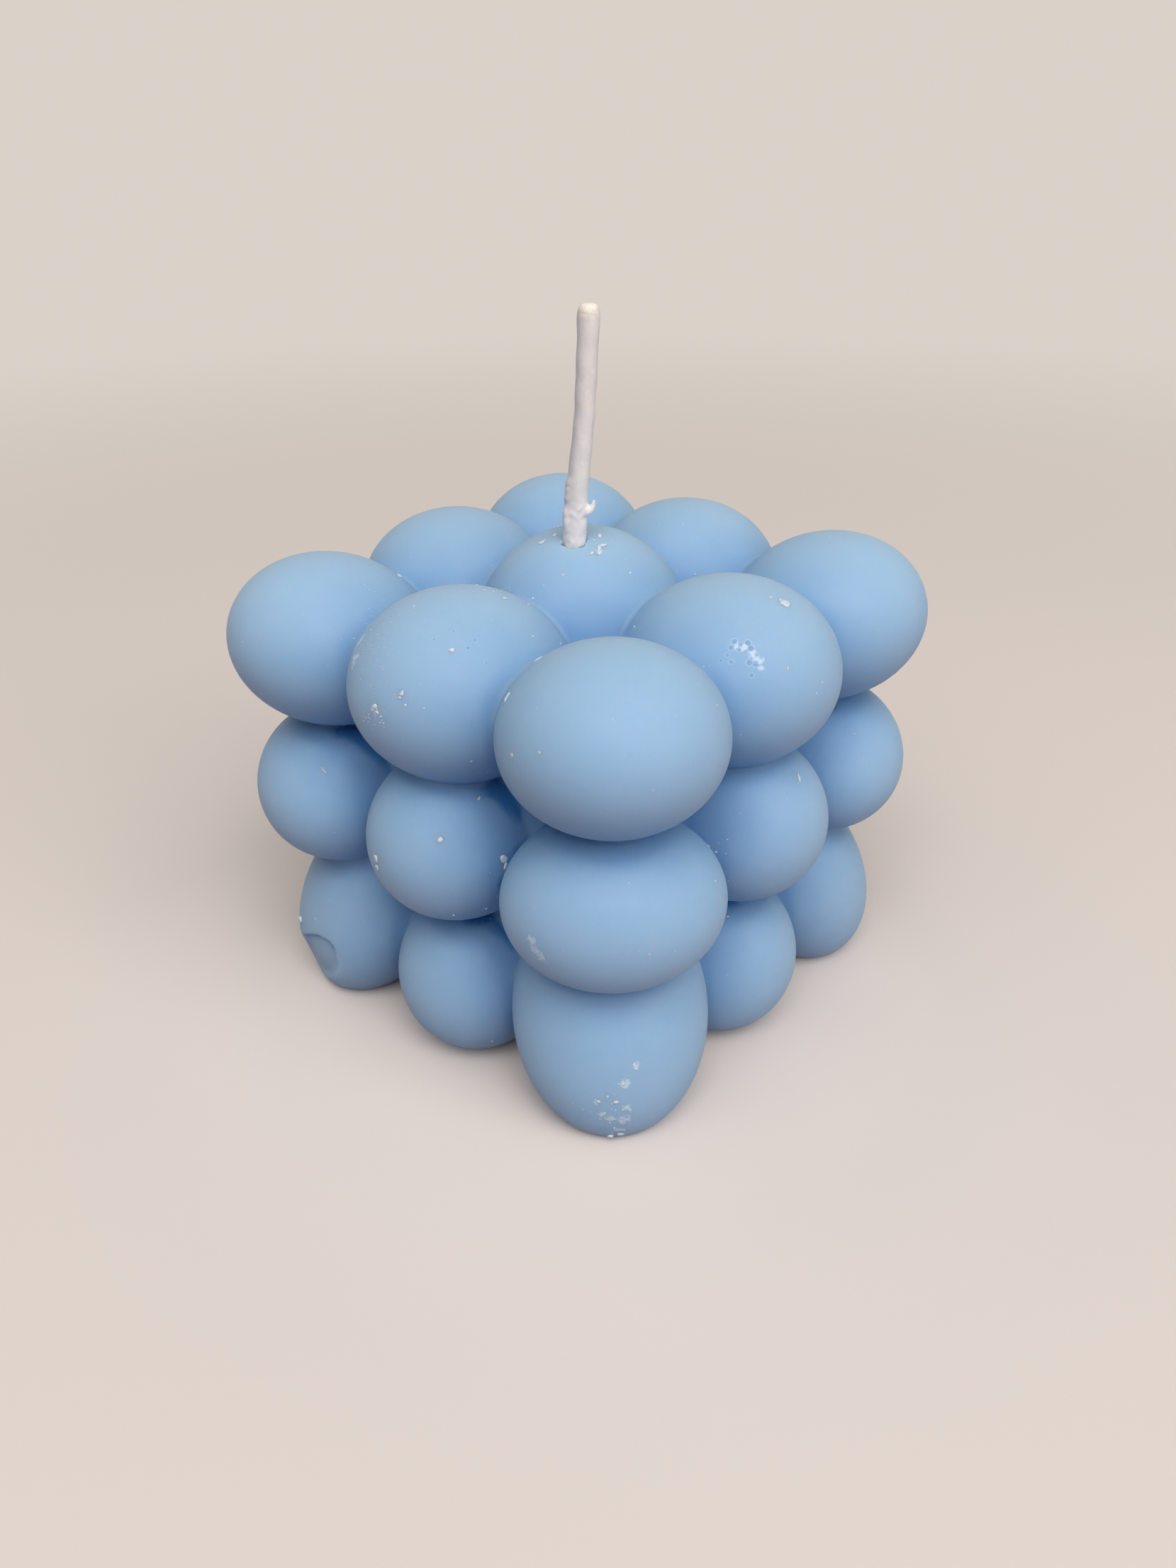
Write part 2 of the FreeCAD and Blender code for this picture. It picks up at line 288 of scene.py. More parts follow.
def surface_net(inside, low, step):
    """One vertex in each cell of a grid that the surface crosses, joined by four-sided faces."""
    shape = np.array(inside.shape) - 1
    corners = [
        inside[x : x + shape[0], y : y + shape[1], z : z + shape[2]]
        for x, y, z in itertools.product((0, 1), repeat=3)
    ]
    crossed = np.any(corners, axis=0) & ~np.all(corners, axis=0)
    cells = np.argwhere(crossed)
    number = np.full(crossed.shape, -1)
    number[tuple(cells.T)] = np.arange(len(cells))
    faces = []
    for axis in range(3):
        ahead = np.moveaxis(inside, axis, 0)
        change = np.argwhere(np.moveaxis(ahead[1:] != ahead[:-1], 0, axis))
        across, beyond = np.eye(3, dtype=int)[[(axis + 1) % 3, (axis + 2) % 3]]
        ring = [change, change - across, change - across - beyond, change - beyond]
        quads = np.stack([number[tuple(cell.T)] for cell in ring], axis=1)
        leaving = inside[tuple(change.T)]
        faces.append(np.where(leaving[:, None], quads, quads[:, ::-1]))
    return np.array(low) + (cells + 0.5) * step, np.concatenate(faces)


# How flat a field may be taken to be, and how far a point moves at most in one round.
LEAST_STEEP = 0.05
LONGEST_MOVE = 1.0


def settle(points, field, rounds=3):
    """Moves points straight onto a field's surface, and returns them with its outward way."""
    for _ in range(rounds):
        distance, way = field(points)
        steep = np.maximum((way**2).sum(axis=1), LEAST_STEEP)
        move = np.clip(distance / steep, -LONGEST_MOVE, LONGEST_MOVE)
        points = points - move[:, None] * way
    way = field(points)[1]
    return points, way / np.maximum(np.linalg.norm(way, axis=1), TINY)[:, None]


def even_out(points, faces):
    """Moves each point to the middle of its neighbours."""
    start = faces.ravel()
    end = np.roll(faces, -1, axis=1).ravel()
    pairs = np.concatenate((start, end)), np.concatenate((end, start))
    count = np.bincount(pairs[0], minlength=len(points))
    sums = [np.bincount(pairs[0], points[pairs[1], axis], len(points)) for axis in range(3)]
    return np.stack(sums, axis=1) / np.maximum(count, 1)[:, None]


def new_mesh(name, points, faces):
    """A smooth mesh from points in millimetres."""
    mesh = bpy.data.meshes.new(name)
    mesh.from_pydata((points * METRES).tolist(), [], faces)
    mesh.polygons.foreach_set("use_smooth", [True] * len(mesh.polygons))
    return mesh


def new_piece(name, mesh, material, slot, *replaced):
    """A piece of the candle that rides on its only body."""
    piece = bpy.data.objects.new(name, mesh)
    bpy.context.scene.collection.objects.link(piece)
    mesh.materials.clear()
    mesh.materials.append(material)
    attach(piece, "root")
    if replaced:
        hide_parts(*replaced)
    return piece


def thinned(mesh, faces_wanted):
    """The mesh with fewer triangles: fewest where it is flattest."""
    carrier = bpy.data.objects.new("thinning", mesh)
    bpy.context.scene.collection.objects.link(carrier)
    modifier = carrier.modifiers.new("thin", "DECIMATE")
    modifier.ratio = min(1.0, faces_wanted / (2 * len(mesh.polygons)))
    evaluated = carrier.evaluated_get(bpy.context.evaluated_depsgraph_get())
    result = bpy.data.meshes.new_from_object(evaluated)
    bpy.data.objects.remove(carrier)
    bpy.data.meshes.remove(mesh)
    return result


def mesh_points(mesh):
    """A mesh's points in millimetres."""
    flat = np.empty(3 * len(mesh.vertices))
    mesh.vertices.foreach_get("co", flat)
    return flat.reshape(-1, 3) / METRES


# How each mesh is made: how far its grid reaches beyond the solid's box, the grid's step, and
# how many triangles are kept of it.
WAX_GRID = (1.5, 0.45, 180000)
WICK_GRID = (3.0, 0.16, 40000)
# How many times the points are evened out before that.
EVEN_ROUNDS = 2


def field_mesh(name, field, box, margin, step, faces_wanted):
    """The surface of a field as a mesh that is finest in its creases, with its true normals."""
    low, high = (np.array(corner) / METRES for corner in box)
    low, high = low - margin, high + margin
    points, faces = surface_net(grid_inside(field, low, high, step), low, step)
    for _ in range(EVEN_ROUNDS):
        points = settle(even_out(points, faces), field, 2)[0]
    mesh = thinned(new_mesh(name, points, faces.tolist()), faces_wanted)
    points, normals = settle(mesh_points(mesh), field)
    mesh.vertices.foreach_set("co", (points * METRES).ravel())
    mesh.update()
    mesh.normals_split_custom_set_from_vertices(normals.tolist())
    mark_painted_shade(mesh, field, points, normals)
    return mesh


# The ways in which the surface looks out for the bubbles around it, how far, and how much room
# a look needs for each millimetre that it goes.
LOOKS = [np.array(way) for way in itertools.product((-1, 0, 1), repeat=3) if any(way)]
LOOK_STEPS = (2.0, 5.0, 10.0)
LOOK_ROOM = 0.3
# How far off the surface a look starts, the least share of it that must go straight out, and
# the outlook of a point that can't look anywhere.
LOOK_START = 0.3
LOOK_OUTWARD = 0.05
NO_OUTLOOK = 1e-6

# The share that is blocked around the bottom of a crease, and the limits between which a place
# that is blocked all round, above and beside it becomes a deep pit: these set where shade is
# painted into the wax.
CREASE_BLOCKED = 0.6
PIT_AROUND = (0.72, 0.86)
PIT_ABOVE = (0.8, 0.93)
PIT_BESIDE = (0.1, 0.3)


def ease(values, low, high):
    """Goes smoothly from 0 to 1 between two limits."""
    share = np.clip((values - low) / (high - low), 0, 1)
    return share * share * (3 - 2 * share)


def blocked(points, normals, field, looks):
    """How much of the outlook in some ways is blocked, from 0 to 1."""
    start = points + LOOK_START * normals
    shut, total = np.zeros(len(points)), np.full(len(points), NO_OUTLOOK)
    for look in looks:
        way = look / np.linalg.norm(look)
        facing = normals @ way
        pick = np.flatnonzero(facing > LOOK_OUTWARD)
        clear = np.ones(len(pick))
        for step in LOOK_STEPS:
            room = field(start[pick] + way * step)[0] / (LOOK_ROOM * step)
            clear = np.minimum(clear, np.clip(room, 0, 1))
        shut[pick] += facing[pick] * (1 - clear)
        total[pick] += facing[pick]
    return shut / total


def mark_painted_shade(mesh, field, points, normals):
    """Marks how far each point lies in a crease, from 0 to 0.5, or in a deep pit, up to 1: the
    share of shade that is painted into the wax there.
    """
    around = blocked(points, normals, field, LOOKS)
    above = blocked(points, normals, field, [look for look in LOOKS if look[2] > 0])
    beside = blocked(points, normals, field, [look for look in LOOKS if look[2] == 0])
    pit = ease(around, *PIT_AROUND) * ease(above, *PIT_ABOVE) * ease(beside, *PIT_BESIDE)
    painted_shade_share = 0.5 * np.clip(around / CREASE_BLOCKED, 0, 1) + 0.5 * pit
    mesh.attributes.new("painted_shade_share", "FLOAT", "POINT").data.foreach_set("value", painted_shade_share)


def camera_axes():
    """The camera's right, up and backward directions, as columns."""
    turn, raised = math.radians(CAMERA_AZIMUTH), math.radians(CAMERA_ELEVATION)
    right = np.array((math.cos(turn), math.sin(turn), 0.0))
    back = np.array((math.sin(turn), -math.cos(turn), 0.0)) * math.cos(raised)
    back[2] = math.sin(raised)
    return np.stack((right, np.cross(back, right), back), axis=1) @ turn_matrix(2, CAMERA_ROLL)


def sight_lines(pixels):
    """The ways from the camera through some pixels."""
    pixels = np.asarray(pixels, dtype=float)
    aside = (pixels[:, 0] - PHOTO_WIDTH / 2) / FOCAL_PIXELS
    above = (PHOTO_HEIGHT / 2 - pixels[:, 1]) / FOCAL_PIXELS
    ways = np.stack((aside, above, -np.ones(len(pixels))), axis=1) @ camera_axes().T
    return ways / np.linalg.norm(ways, axis=1, keepdims=True)


# A line of sight meets the wax between these distances from the camera. It goes there in
# rounds, each time by a share of the distance that is left.
SIGHT_START = 60.0
SIGHT_END = 185.0
SIGHT_ROUNDS = 60
SIGHT_SHARE = 0.7


def on_wax(pixels):
    """Where the lines of sight through some pixels meet the wax, and the way out of it there."""
    ways = sight_lines(pixels)
    travelled = np.full(len(ways), SIGHT_START)
    for _ in range(SIGHT_ROUNDS):
        travelled += SIGHT_SHARE * wax_field(CAMERA_PLACE + ways * travelled[:, None])[0]
    return settle(CAMERA_PLACE + ways * np.minimum(travelled, SIGHT_END)[:, None], wax_field)


# About how high on the wick the wax that clings to it is.
CLINGING_HEIGHT = 60.0


def beside_wick(x, y, nearer):
    """The point that a pixel shows above the wick's foot, or nearer to the camera by so much."""
    way = sight_lines([(x, y)])[0]
    level_back = camera_axes()[:, 2] * (1, 1, 0)
    level_back /= np.linalg.norm(level_back)
    middle = wick_line(np.array([CLINGING_HEIGHT]))[0]
    travelled = (np.dot(middle - CAMERA_PLACE, level_back) + nearer) / np.dot(way, level_back)
    return CAMERA_PLACE + way * travelled


# Wax that clings to the wick: pixel, how much nearer to the camera than the wick's middle, and
# radii in millimetres across the picture, up it and away from it.
CLINGING_WAX = (
    (828, 721, 0.5, (0.44, 0.46, 0.40)),
    (833, 719, 0.5, (0.34, 0.34, 0.28)),
    (837, 714, 0.5, (0.20, 0.28, 0.22)),
    (838, 708, 0.5, (0.13, 0.26, 0.18)),
    (801, 690, 0.2, (0.20, 0.42, 0.40)),
    (800, 702, 0.2, (0.20, 0.30, 0.40)),
    (802, 681, 0.2, (0.18, 0.26, 0.40)),
    (799, 722, 0.4, (0.28, 0.50, 0.40)),
    (799, 735, 0.4, (0.32, 0.60, 0.50)),
    (822, 738, 0.4, (0.32, 0.60, 0.45)),
)

# Wax around the wick's foot, where it lies on the top bubble: pixel and radii.
FOOT_WAX = (
    (800, 746, (0.46, 0.40, 0.40)),
    (805, 752, (0.50, 0.34, 0.35)),
    (813, 758, (0.70, 0.40, 0.40)),
    (822, 751, (0.50, 0.36, 0.35)),
    (814, 763, (0.36, 0.22, 0.25)),
)


def clinging_wax():
    """The lumps of wax on the wick and around its foot, as egg shapes."""
    for x, y, nearer, radii in CLINGING_WAX:
        yield ellipsoid_field, (beside_wick(x, y, nearer), camera_axes(), np.array(radii))
    seats = on_wax([foot[:2] for foot in FOOT_WAX])[0]
    for seat, (_, _, radii) in zip(seats, FOOT_WAX):
        yield ellipsoid_field, (seat, camera_axes(), np.array(radii))


WICK_LUMPS = list(clinging_wax())

# Loose flakes and crumbs of whitish wax on the surface: pixel, half length, half width and
# thickness in millimetres, and the degrees of their long side from level in the picture.
FLAKES = (
    # on the top bubbles to the right and the left of the front one
    (1108, 851, 0.68, 0.60, 0.14, -30),
    (1102, 847, 0.24, 0.24, 0.12, 0),
    (1087, 843, 0.20, 0.15, 0.06, 0),
    (1111, 943, 0.10, 0.20, 0.05, 0),
    (1160, 962, 0.14, 0.12, 0.06, 0),
    (1152, 978, 0.12, 0.12, 0.05, 0),
    (1012, 995, 0.12, 0.12, 0.05, 0),
    (528, 997, 0.36, 0.30, 0.14, 20),
    (525, 1001, 0.22, 0.18, 0.10, 0),
    (532, 1005, 0.22, 0.16, 0.10, -40),
    (537, 1011, 0.16, 0.12, 0.08, 0),
    (520, 1008, 0.10, 0.09, 0.05, 0),
    (541, 1020, 0.10, 0.09, 0.05, 0),
    (513, 1017, 0.14, 0.08, 0.05, 30),
    (567, 978, 0.30, 0.20, 0.12, 50),
    (564, 984, 0.16, 0.12, 0.08, 0),
    (572, 995, 0.14, 0.13, 0.08, 0),
    (598, 999, 0.12, 0.10, 0.06, 0),
    (638, 917, 0.28, 0.22, 0.08, 0),
    (584, 855, 0.12, 0.12, 0.07, 0),
    (523, 889, 0.12, 0.12, 0.07, 0),
    (673, 825, 0.16, 0.12, 0.08, 0),
    (683, 832, 0.12, 0.10, 0.07, 0),
    (696, 834, 0.14, 0.10, 0.07, 0),
    (712, 844, 0.28, 0.16, 0.12, -20),
    (665, 1074, 0.12, 0.10, 0.05, 0),
    (791, 908, 0.14, 0.10, 0.07, 0),
    (563, 812, 0.30, 0.26, 0.16, 0),
    (516, 785, 0.12, 0.10, 0.06, 0),
    # on the front top bubble's left border
    (759, 930, 0.42, 0.18, 0.12, 30),
    (715, 984, 0.50, 0.26, 0.15, 60),
    (722, 1066, 0.26, 0.20, 0.04, 0),
    (761, 1062, 0.18, 0.16, 0.04, 0),
    (980, 810, 0.12, 0.10, 0.07, 0),
    # around the foot of the wick
    (764, 765, 0.38, 0.30, 0.12, 10),
    (769, 762, 0.18, 0.16, 0.08, 0),
    (783, 755, 0.26, 0.40, 0.16, 0),
    (787, 743, 0.14, 0.28, 0.10, 0),
    (846, 756, 0.26, 0.46, 0.18, 10),
    (838, 762, 0.16, 0.13, 0.06, 0),
    (852, 769, 0.40, 0.22, 0.14, 25),
    (845, 773, 0.24, 0.42, 0.14, -20),
    (845, 781, 0.16, 0.20, 0.10, 0),
    (835, 780, 0.20, 0.32, 0.08, -35),
    (794, 811, 0.15, 0.14, 0.08, 0),
    (889, 808, 0.13, 0.18, 0.08, 0),
    (895, 884, 0.14, 0.20, 0.08, 0),
    (752, 844, 0.13, 0.12, 0.07, 0),
    (767, 826, 0.10, 0.09, 0.05, 0),
    (752, 898, 0.15, 0.12, 0.08, 0),
    (745, 852, 0.10, 0.10, 0.06, 0),
    # on the middle row
    (1127, 1097, 0.18, 0.58, 0.12, 10),
    (676, 1126, 0.28, 0.13, 0.07, 60),
    (621, 1185, 0.32, 0.27, 0.08, 30),
    (530, 1211, 0.50, 0.38, 0.13, -60),
    (532, 1224, 0.28, 0.36, 0.12, 0),
    (711, 1211, 0.46, 0.42, 0.14, 0),
    (713, 1221, 0.22, 0.48, 0.12, -10),
    (640, 1291, 0.16, 0.15, 0.10, 0),
    (686, 1282, 0.14, 0.13, 0.07, 0),
    (916, 1346, 0.12, 0.10, 0.06, 0),
    (1000, 1193, 0.16, 0.13, 0.08, 0),
    (1010, 1202, 0.13, 0.12, 0.07, 0),
    (1009, 1243, 0.15, 0.13, 0.08, 0),
    (1027, 1293, 0.15, 0.13, 0.08, 0),
    (457, 1087, 0.46, 0.07, 0.03, -50),
    # on the bottom row
    (694, 1469, 0.17, 0.16, 0.09, 0),
    (425, 1297, 0.36, 0.42, 0.36, 8),
    (445, 1296, 0.14, 0.13, 0.06, 0),
    # the seam's rough flash up the front bottom bubble
    (866, 1605, 0.60, 0.40, 0.36, 20),
    (861, 1602, 0.30, 0.40, 0.30, 0),
    (875, 1600, 0.42, 0.42, 0.14, 0),
    (866, 1591, 0.12, 0.24, 0.06, 0),
    (878, 1566, 0.18, 0.14, 0.05, 40),
    (868, 1566, 0.14, 0.10, 0.05, 20),
    (869, 1555, 0.30, 0.20, 0.10, 25),
    (863, 1557, 0.12, 0.10, 0.06, 0),
    (844, 1554, 0.24, 0.20, 0.10, 0),
    (840, 1551, 0.13, 0.10, 0.06, 0),
    (857, 1547, 0.14, 0.16, 0.07, 0),
    (884, 1525, 0.30, 0.12, 0.07, 45),
    (879, 1530, 0.26, 0.12, 0.06, 40),
    (873, 1529, 0.14, 0.07, 0.04, 0),
    (898, 1508, 0.16, 0.14, 0.07, 0),
    (900, 1500, 0.08, 0.14, 0.05, 0),
    (907, 1598, 0.22, 0.18, 0.10, 0),
    (922, 1588, 0.20, 0.14, 0.09, 30),
    (1173, 1355, 0.30, 0.18, 0.16, 20),
)

# Specks too small to place one by one: pixel in the middle, spread across and up the picture
# in pixels, how many, and their radius.
SPECKS = (
    (520, 905, 22, 32, 70, 0.055),
    (550, 950, 28, 30, 40, 0.05),
    (526, 1012, 16, 11, 22, 0.06),
    (590, 880, 60, 30, 22, 0.055),
    (705, 850, 20, 30, 12, 0.07),
    (525, 815, 26, 30, 12, 0.06),
    (866, 1575, 26, 26, 26, 0.07),
    (850, 770, 34, 20, 10, 0.07),
    (1015, 1220, 10, 36, 6, 0.07),
    (700, 1285, 30, 10, 8, 0.06),
)
SPECK_SEED = 11
# A patch's spread is this many standard deviations. A speck's radius and width are shares
# drawn between two limits, and its thickness is a share of its radius.
SPECK_SPREAD = 1.6
SPECK_RADII = (0.6, 1.5)
SPECK_WIDTHS = (0.5, 1)
SPECK_THICKNESS = 0.6

# Specks that lie anywhere on the wax, on its hidden sides too: how many, their radius between
# two limits, and their width as a share of it.
LOOSE_SEED = 12
LOOSE_SPECKS = 160
LOOSE_RADII = (0.04, 0.09)
LOOSE_WIDTH = 0.8

# A flake that is this near to the wax after it is placed lies on it.
FLAKE_TOUCH = 0.05

# A flake's corners, how ragged its outline and its height are, and its rings from the sunk
# underside to the top: share of the outline, and of the thickness.
FLAKE_CORNERS = 11
FLAKE_OUTLINE = (0.7, 1.25)
FLAKE_HEIGHT = (0.75, 1.1)
FLAKE_RINGS = ((0.5, -0.5), (1.0, -0.3), (0.95, 0.5), (0.6, 0.85))


def scattered_specks(random):
    """The specks of every patch as small flakes."""
    for x, y, across, up, count, radius in SPECKS:
        for _ in range(count):
            place = random.normal((x, y), (across / SPECK_SPREAD, up / SPECK_SPREAD))
            size = radius * random.uniform(*SPECK_RADII)
            width = size * random.uniform(*SPECK_WIDTHS)
            yield (*place, size, width, size * SPECK_THICKNESS, random.uniform(0, 180))


def placed_flakes():
    """The flakes that have a pixel: half length, half width, thickness and turn of each, its
    place on the wax, and the way out of the wax there."""
    random = np.random.default_rng(SPECK_SEED)
    flakes = np.array([*FLAKES, *scattered_specks(random)])
    places, ways = on_wax(flakes[:, :2])
    met = np.abs(wax_field(places)[0]) < FLAKE_TOUCH
    return flakes[met, 2:], places[met], ways[met]


def loose_flakes(wax, random):
    """The same of the specks that lie anywhere on the wax."""
    picks = random.choice(len(wax.vertices), LOOSE_SPECKS, replace=False)
    places, ways = settle(mesh_points(wax)[picks], wax_field)
    radius = random.uniform(*LOOSE_RADII, LOOSE_SPECKS)
    turns = random.uniform(0, 180, LOOSE_SPECKS)
    sizes = (radius, radius * LOOSE_WIDTH, radius * SPECK_THICKNESS, turns)
    return np.stack(sizes, axis=1), places, ways


def flake_axes(turns, ways):
    """The ways along and across each flake, level with the wax under it."""
    right, up = camera_axes().T[:2]
    angle = np.radians(turns)
    along = right * np.cos(angle) + up * np.sin(angle)
    along -= ways * (along * ways).sum(axis=1, keepdims=True)
    along /= np.linalg.norm(along, axis=1, keepdims=True)
    return along, np.cross(ways, along)


def flake_rows(sizes, places, ways, random):
    """The points of every flake, ring by ring. None lies below the table."""
    along, across = flake_axes(sizes[:, 3:], ways)
    around = np.linspace(0, 2 * math.pi, FLAKE_CORNERS, endpoint=False)
    corners = (len(sizes), FLAKE_CORNERS)
    ragged = random.uniform(*FLAKE_OUTLINE, corners)
    for spread, height in FLAKE_RINGS:
        reach_along = spread * ragged * np.cos(around) * sizes[:, :1]
        reach_across = spread * ragged * np.sin(around) * sizes[:, 1:2]
        flat = (
            places[:, None]
            + along[:, None] * reach_along[..., None]
            + across[:, None] * reach_across[..., None]
        )
        seat, out = settle(flat.reshape(-1, 3), wax_field, 2)
        rise = height * sizes[:, 2:3] * random.uniform(*FLAKE_HEIGHT, corners)
        row = seat.reshape(flat.shape) + out.reshape(flat.shape) * rise[..., None]
        yield np.maximum(row, (-np.inf, -np.inf, 0.0))


def flake_faces():
    """The faces of one flake: those between its rings, its underside and its top."""
    here = np.arange(FLAKE_CORNERS)
    after = np.roll(here, -1)
    starts = [FLAKE_CORNERS * ring for ring in range(len(FLAKE_RINGS))]
    faces = []
    for low, high in itertools.pairwise(starts):
        side = np.stack((here + low, after + low, after + high, here + high), axis=1)
        faces += side.tolist()
    return [*faces, here[::-1].tolist(), (here + starts[-1]).tolist()]


def flake_mesh(name, wax):
    """Every flake: a ragged plate that lies on the wax, domed on top and sunk in below."""
    random = np.random.default_rng(LOOSE_SEED)
    kinds = zip(placed_flakes(), loose_flakes(wax, random))
    sizes, places, ways = (np.concatenate(both) for both in kinds)
    points = np.stack([*flake_rows(sizes, places, ways, random)], axis=1)
    each = FLAKE_CORNERS * len(FLAKE_RINGS)
    one_flake = flake_faces()
    faces = [
        [first + corner for corner in face]
        for first in range(0, each * len(sizes), each)
        for face in one_flake
    ]
    return new_mesh(name, points.reshape(-1, 3), faces)


def add_camera():
    """The camera where the photograph was taken from."""
    data = bpy.data.cameras.new("camera")
    data.lens = FOCAL_PIXELS / PHOTO_HEIGHT * SENSOR
    data.sensor_width = SENSOR
    data.clip_start = NEAREST_SEEN
    camera = bpy.data.objects.new("camera", data)
    bpy.context.scene.collection.objects.link(camera)
    place = np.eye(4)
    place[:3, :3] = camera_axes()
    place[:3, 3] = CAMERA_PLACE * METRES
    camera.matrix_world = place.T
    bpy.context.scene.camera = camera


# Noise is nearly always between these two.
NOISE_LIMITS = (0.3, 0.7)


class Nodes:
    """The nodes of a material or a world, with short ways to add and join them."""

    def __init__(self, owner, shader="Principled BSDF"):
        owner.use_nodes = True
        self.material = owner
        self.tree = owner.node_tree
        self.shader = self.tree.nodes[shader]
        self.place = self.tree.nodes.new("ShaderNodeTexCoord").outputs["Object"]

    def feed(self, socket, value):
        """Links an output to an input, or gives the input a plain value."""
        if isinstance(value, bpy.types.NodeSocket):
            self.tree.links.new(value, socket)
        else:
            socket.default_value = value

    def shade(self, **values):
        """Sets the shader's inputs, with underscores for spaces."""
        for name, value in values.items():
            self.feed(self.shader.inputs[name.replace("_", " ")], value)

    def marked(self, name):
        """A number that the mesh holds at each point."""
        node = self.tree.nodes.new("ShaderNodeAttribute")
        node.attribute_name = name
        return node.outputs["Fac"]

    def noise(self, grain, detail=3.0):
        """Soft noise between 0 and 1, with grains of so many millimetres."""
        node = self.tree.nodes.new("ShaderNodeTexNoise")
        node.inputs["Scale"].default_value = 1 / (grain * METRES)
        node.inputs["Detail"].default_value = detail
        self.feed(node.inputs["Vector"], self.place)
        return node.outputs["Fac"]

    def near(self, centre, radius):
        """1 at a point of the candle, fading to 0 at a radius, in millimetres."""
        node = self.tree.nodes.new("ShaderNodeVectorMath")
        node.operation = "DISTANCE"
        self.feed(node.inputs[0], self.place)
        node.inputs[1].default_value = centre * METRES
        return self.spread(node.outputs["Value"], radius * METRES, 0)

    def spread(self, value, low, high, to_low=0.0, to_high=1.0):
        """Eases a value from one number to another between two limits."""
        node = self.tree.nodes.new("ShaderNodeMapRange")
        node.interpolation_type = "SMOOTHSTEP"
        limits = (value, low, high, to_low, to_high)
        for socket, number in zip(node.inputs, limits):
            self.feed(socket, number)
        return node.outputs["Result"]

    def patchy(self, grain, low, high):
        """Wanders between two numbers, in patches of so many millimetres."""
        return self.spread(self.noise(grain), *NOISE_LIMITS, low, high)

    def math(self, operation, first, second=0.0):
        """One sum on two values."""
        node = self.tree.nodes.new("ShaderNodeMath")
        node.operation = operation
        self.feed(node.inputs[0], first)
        self.feed(node.inputs[1], second)
        return node.outputs["Value"]

    def tint(self, factor, first, second):
        """Between two colours."""
        node = self.tree.nodes.new("ShaderNodeMix")
        node.data_type = "RGBA"
        self.feed(node.inputs["Factor"], factor)
        self.feed(node.inputs["A"], first)
        self.feed(node.inputs["B"], second)
        return node.outputs["Result"]

    def bump(self, height, strength, depth):
        """Raises the surface by a height between 0 and 1, of so many millimetres."""
        node = self.tree.nodes.new("ShaderNodeBump")
        node.inputs["Strength"].default_value = strength
        node.inputs["Distance"].default_value = depth * METRES
        self.feed(node.inputs["Height"], height)
        if self.shader.inputs["Normal"].is_linked:
            earlier = self.shader.inputs["Normal"].links[0].from_socket
            self.feed(node.inputs["Normal"], earlier)
        self.feed(self.shader.inputs["Normal"], node.outputs["Normal"])


# Small round pits where air was trapped: pixel, and radius in millimetres.
PITS = (
    (1036, 905, 0.28),
    (1044, 910, 0.24),
    (1055, 907, 0.30),
    (1059, 915, 0.32),
    (1031, 914, 0.24),
    (1042, 916, 0.24),
    (1026, 924, 0.20),
    (1031, 934, 0.20),
    (1067, 924, 0.18),
    (1057, 935, 0.28),
    (1066, 936, 0.32),
    (1060, 953, 0.22),
    (1016, 932, 0.16),
    (660, 914, 0.20),
    (670, 903, 0.18),
    (555, 887, 0.14),
    (551, 870, 0.16),
    (686, 935, 0.14),
    (612, 902, 0.14),
    (640, 891, 0.14),
)

# Patches where the surface is frosted: pixel in the middle, and radius in millimetres.
FROSTED = (
    (1040, 911, 0.9),
    (1050, 912, 0.9),
    (1063, 922, 0.9),
    (1069, 932, 1.0),
    (1074, 943, 0.7),
    (528, 1004, 1.1),
    (872, 1606, 1.0),
    (872, 1594, 1.1),
    (880, 1580, 1.3),
    (862, 1578, 1.1),
    (848, 1572, 0.8),
    (886, 1563, 1.0),
    (882, 1528, 1.1),
    (897, 1504, 0.9),
    (841, 1556, 0.6),
    (750, 1328, 0.9),
    (754, 1340, 1.2),
    (763, 1350, 1.2),
    (520, 880, 1.4),
    (507, 905, 1.6),
    (500, 930, 1.4),
    (845, 777, 0.9),
    (795, 765, 0.8),
)

# Colours of the wax: its body between two tints, frost on it, painted shade in a pit's hole, and
# darker painted shade deep in a crease or pit.
BODY_DARK = (0.285, 0.515, 0.73, 1)
BODY_LIGHT = (0.36, 0.56, 0.76, 1)
FROST_WAX = (0.64, 0.79, 0.90, 1)
PAINTED_PIT_SHADE = (0.18, 0.40, 0.66, 1)
PAINTED_DEEP_SHADE = (0.055, 0.22, 0.49, 1)

# The noises between the body's tints: grain in millimetres, detail, and share.
MOTTLE = ((14, 2, 0.6), (2.2, 5, 0.4))

# A pit: how much wider than the pit its mark is, where in the mark its hole and the rim around
# it begin and are full, and how much painted shade the hole shows.
PIT_MARK = 2
PIT_HOLE = (0.5, 0.72)
PIT_RIM = (0.12, 0.4)
PIT_COVER = 0.6

# Frost: how much a patch adds to the noise there, that noise's grain and detail, where the sum
# begins to be frost and is full, the frost on a pit's rim, and how much of its colour shows.
FROST_PATCH = 0.45
FROST_NOISE = (0.45, 5)
FROST_LIMITS = (0.66, 0.92)
FROST_RIM = 0.35
FROST_COVER = 0.75

# The wax's fine roughness as a share of its relief, which is this many millimetres deep.
WAX_GRAIN = 0.15
WAX_RELIEF = 0.08


def closest(nodes, spots):
    """How close the surface is to any of some spots: 1 in the middle, 0 at their radius."""
    mask = 0.0
    for centre, spot in zip(on_wax([spot[:2] for spot in spots])[0], spots):
        mask = nodes.math("MAXIMUM", nodes.near(centre, spot[2]), mask)
    return mask


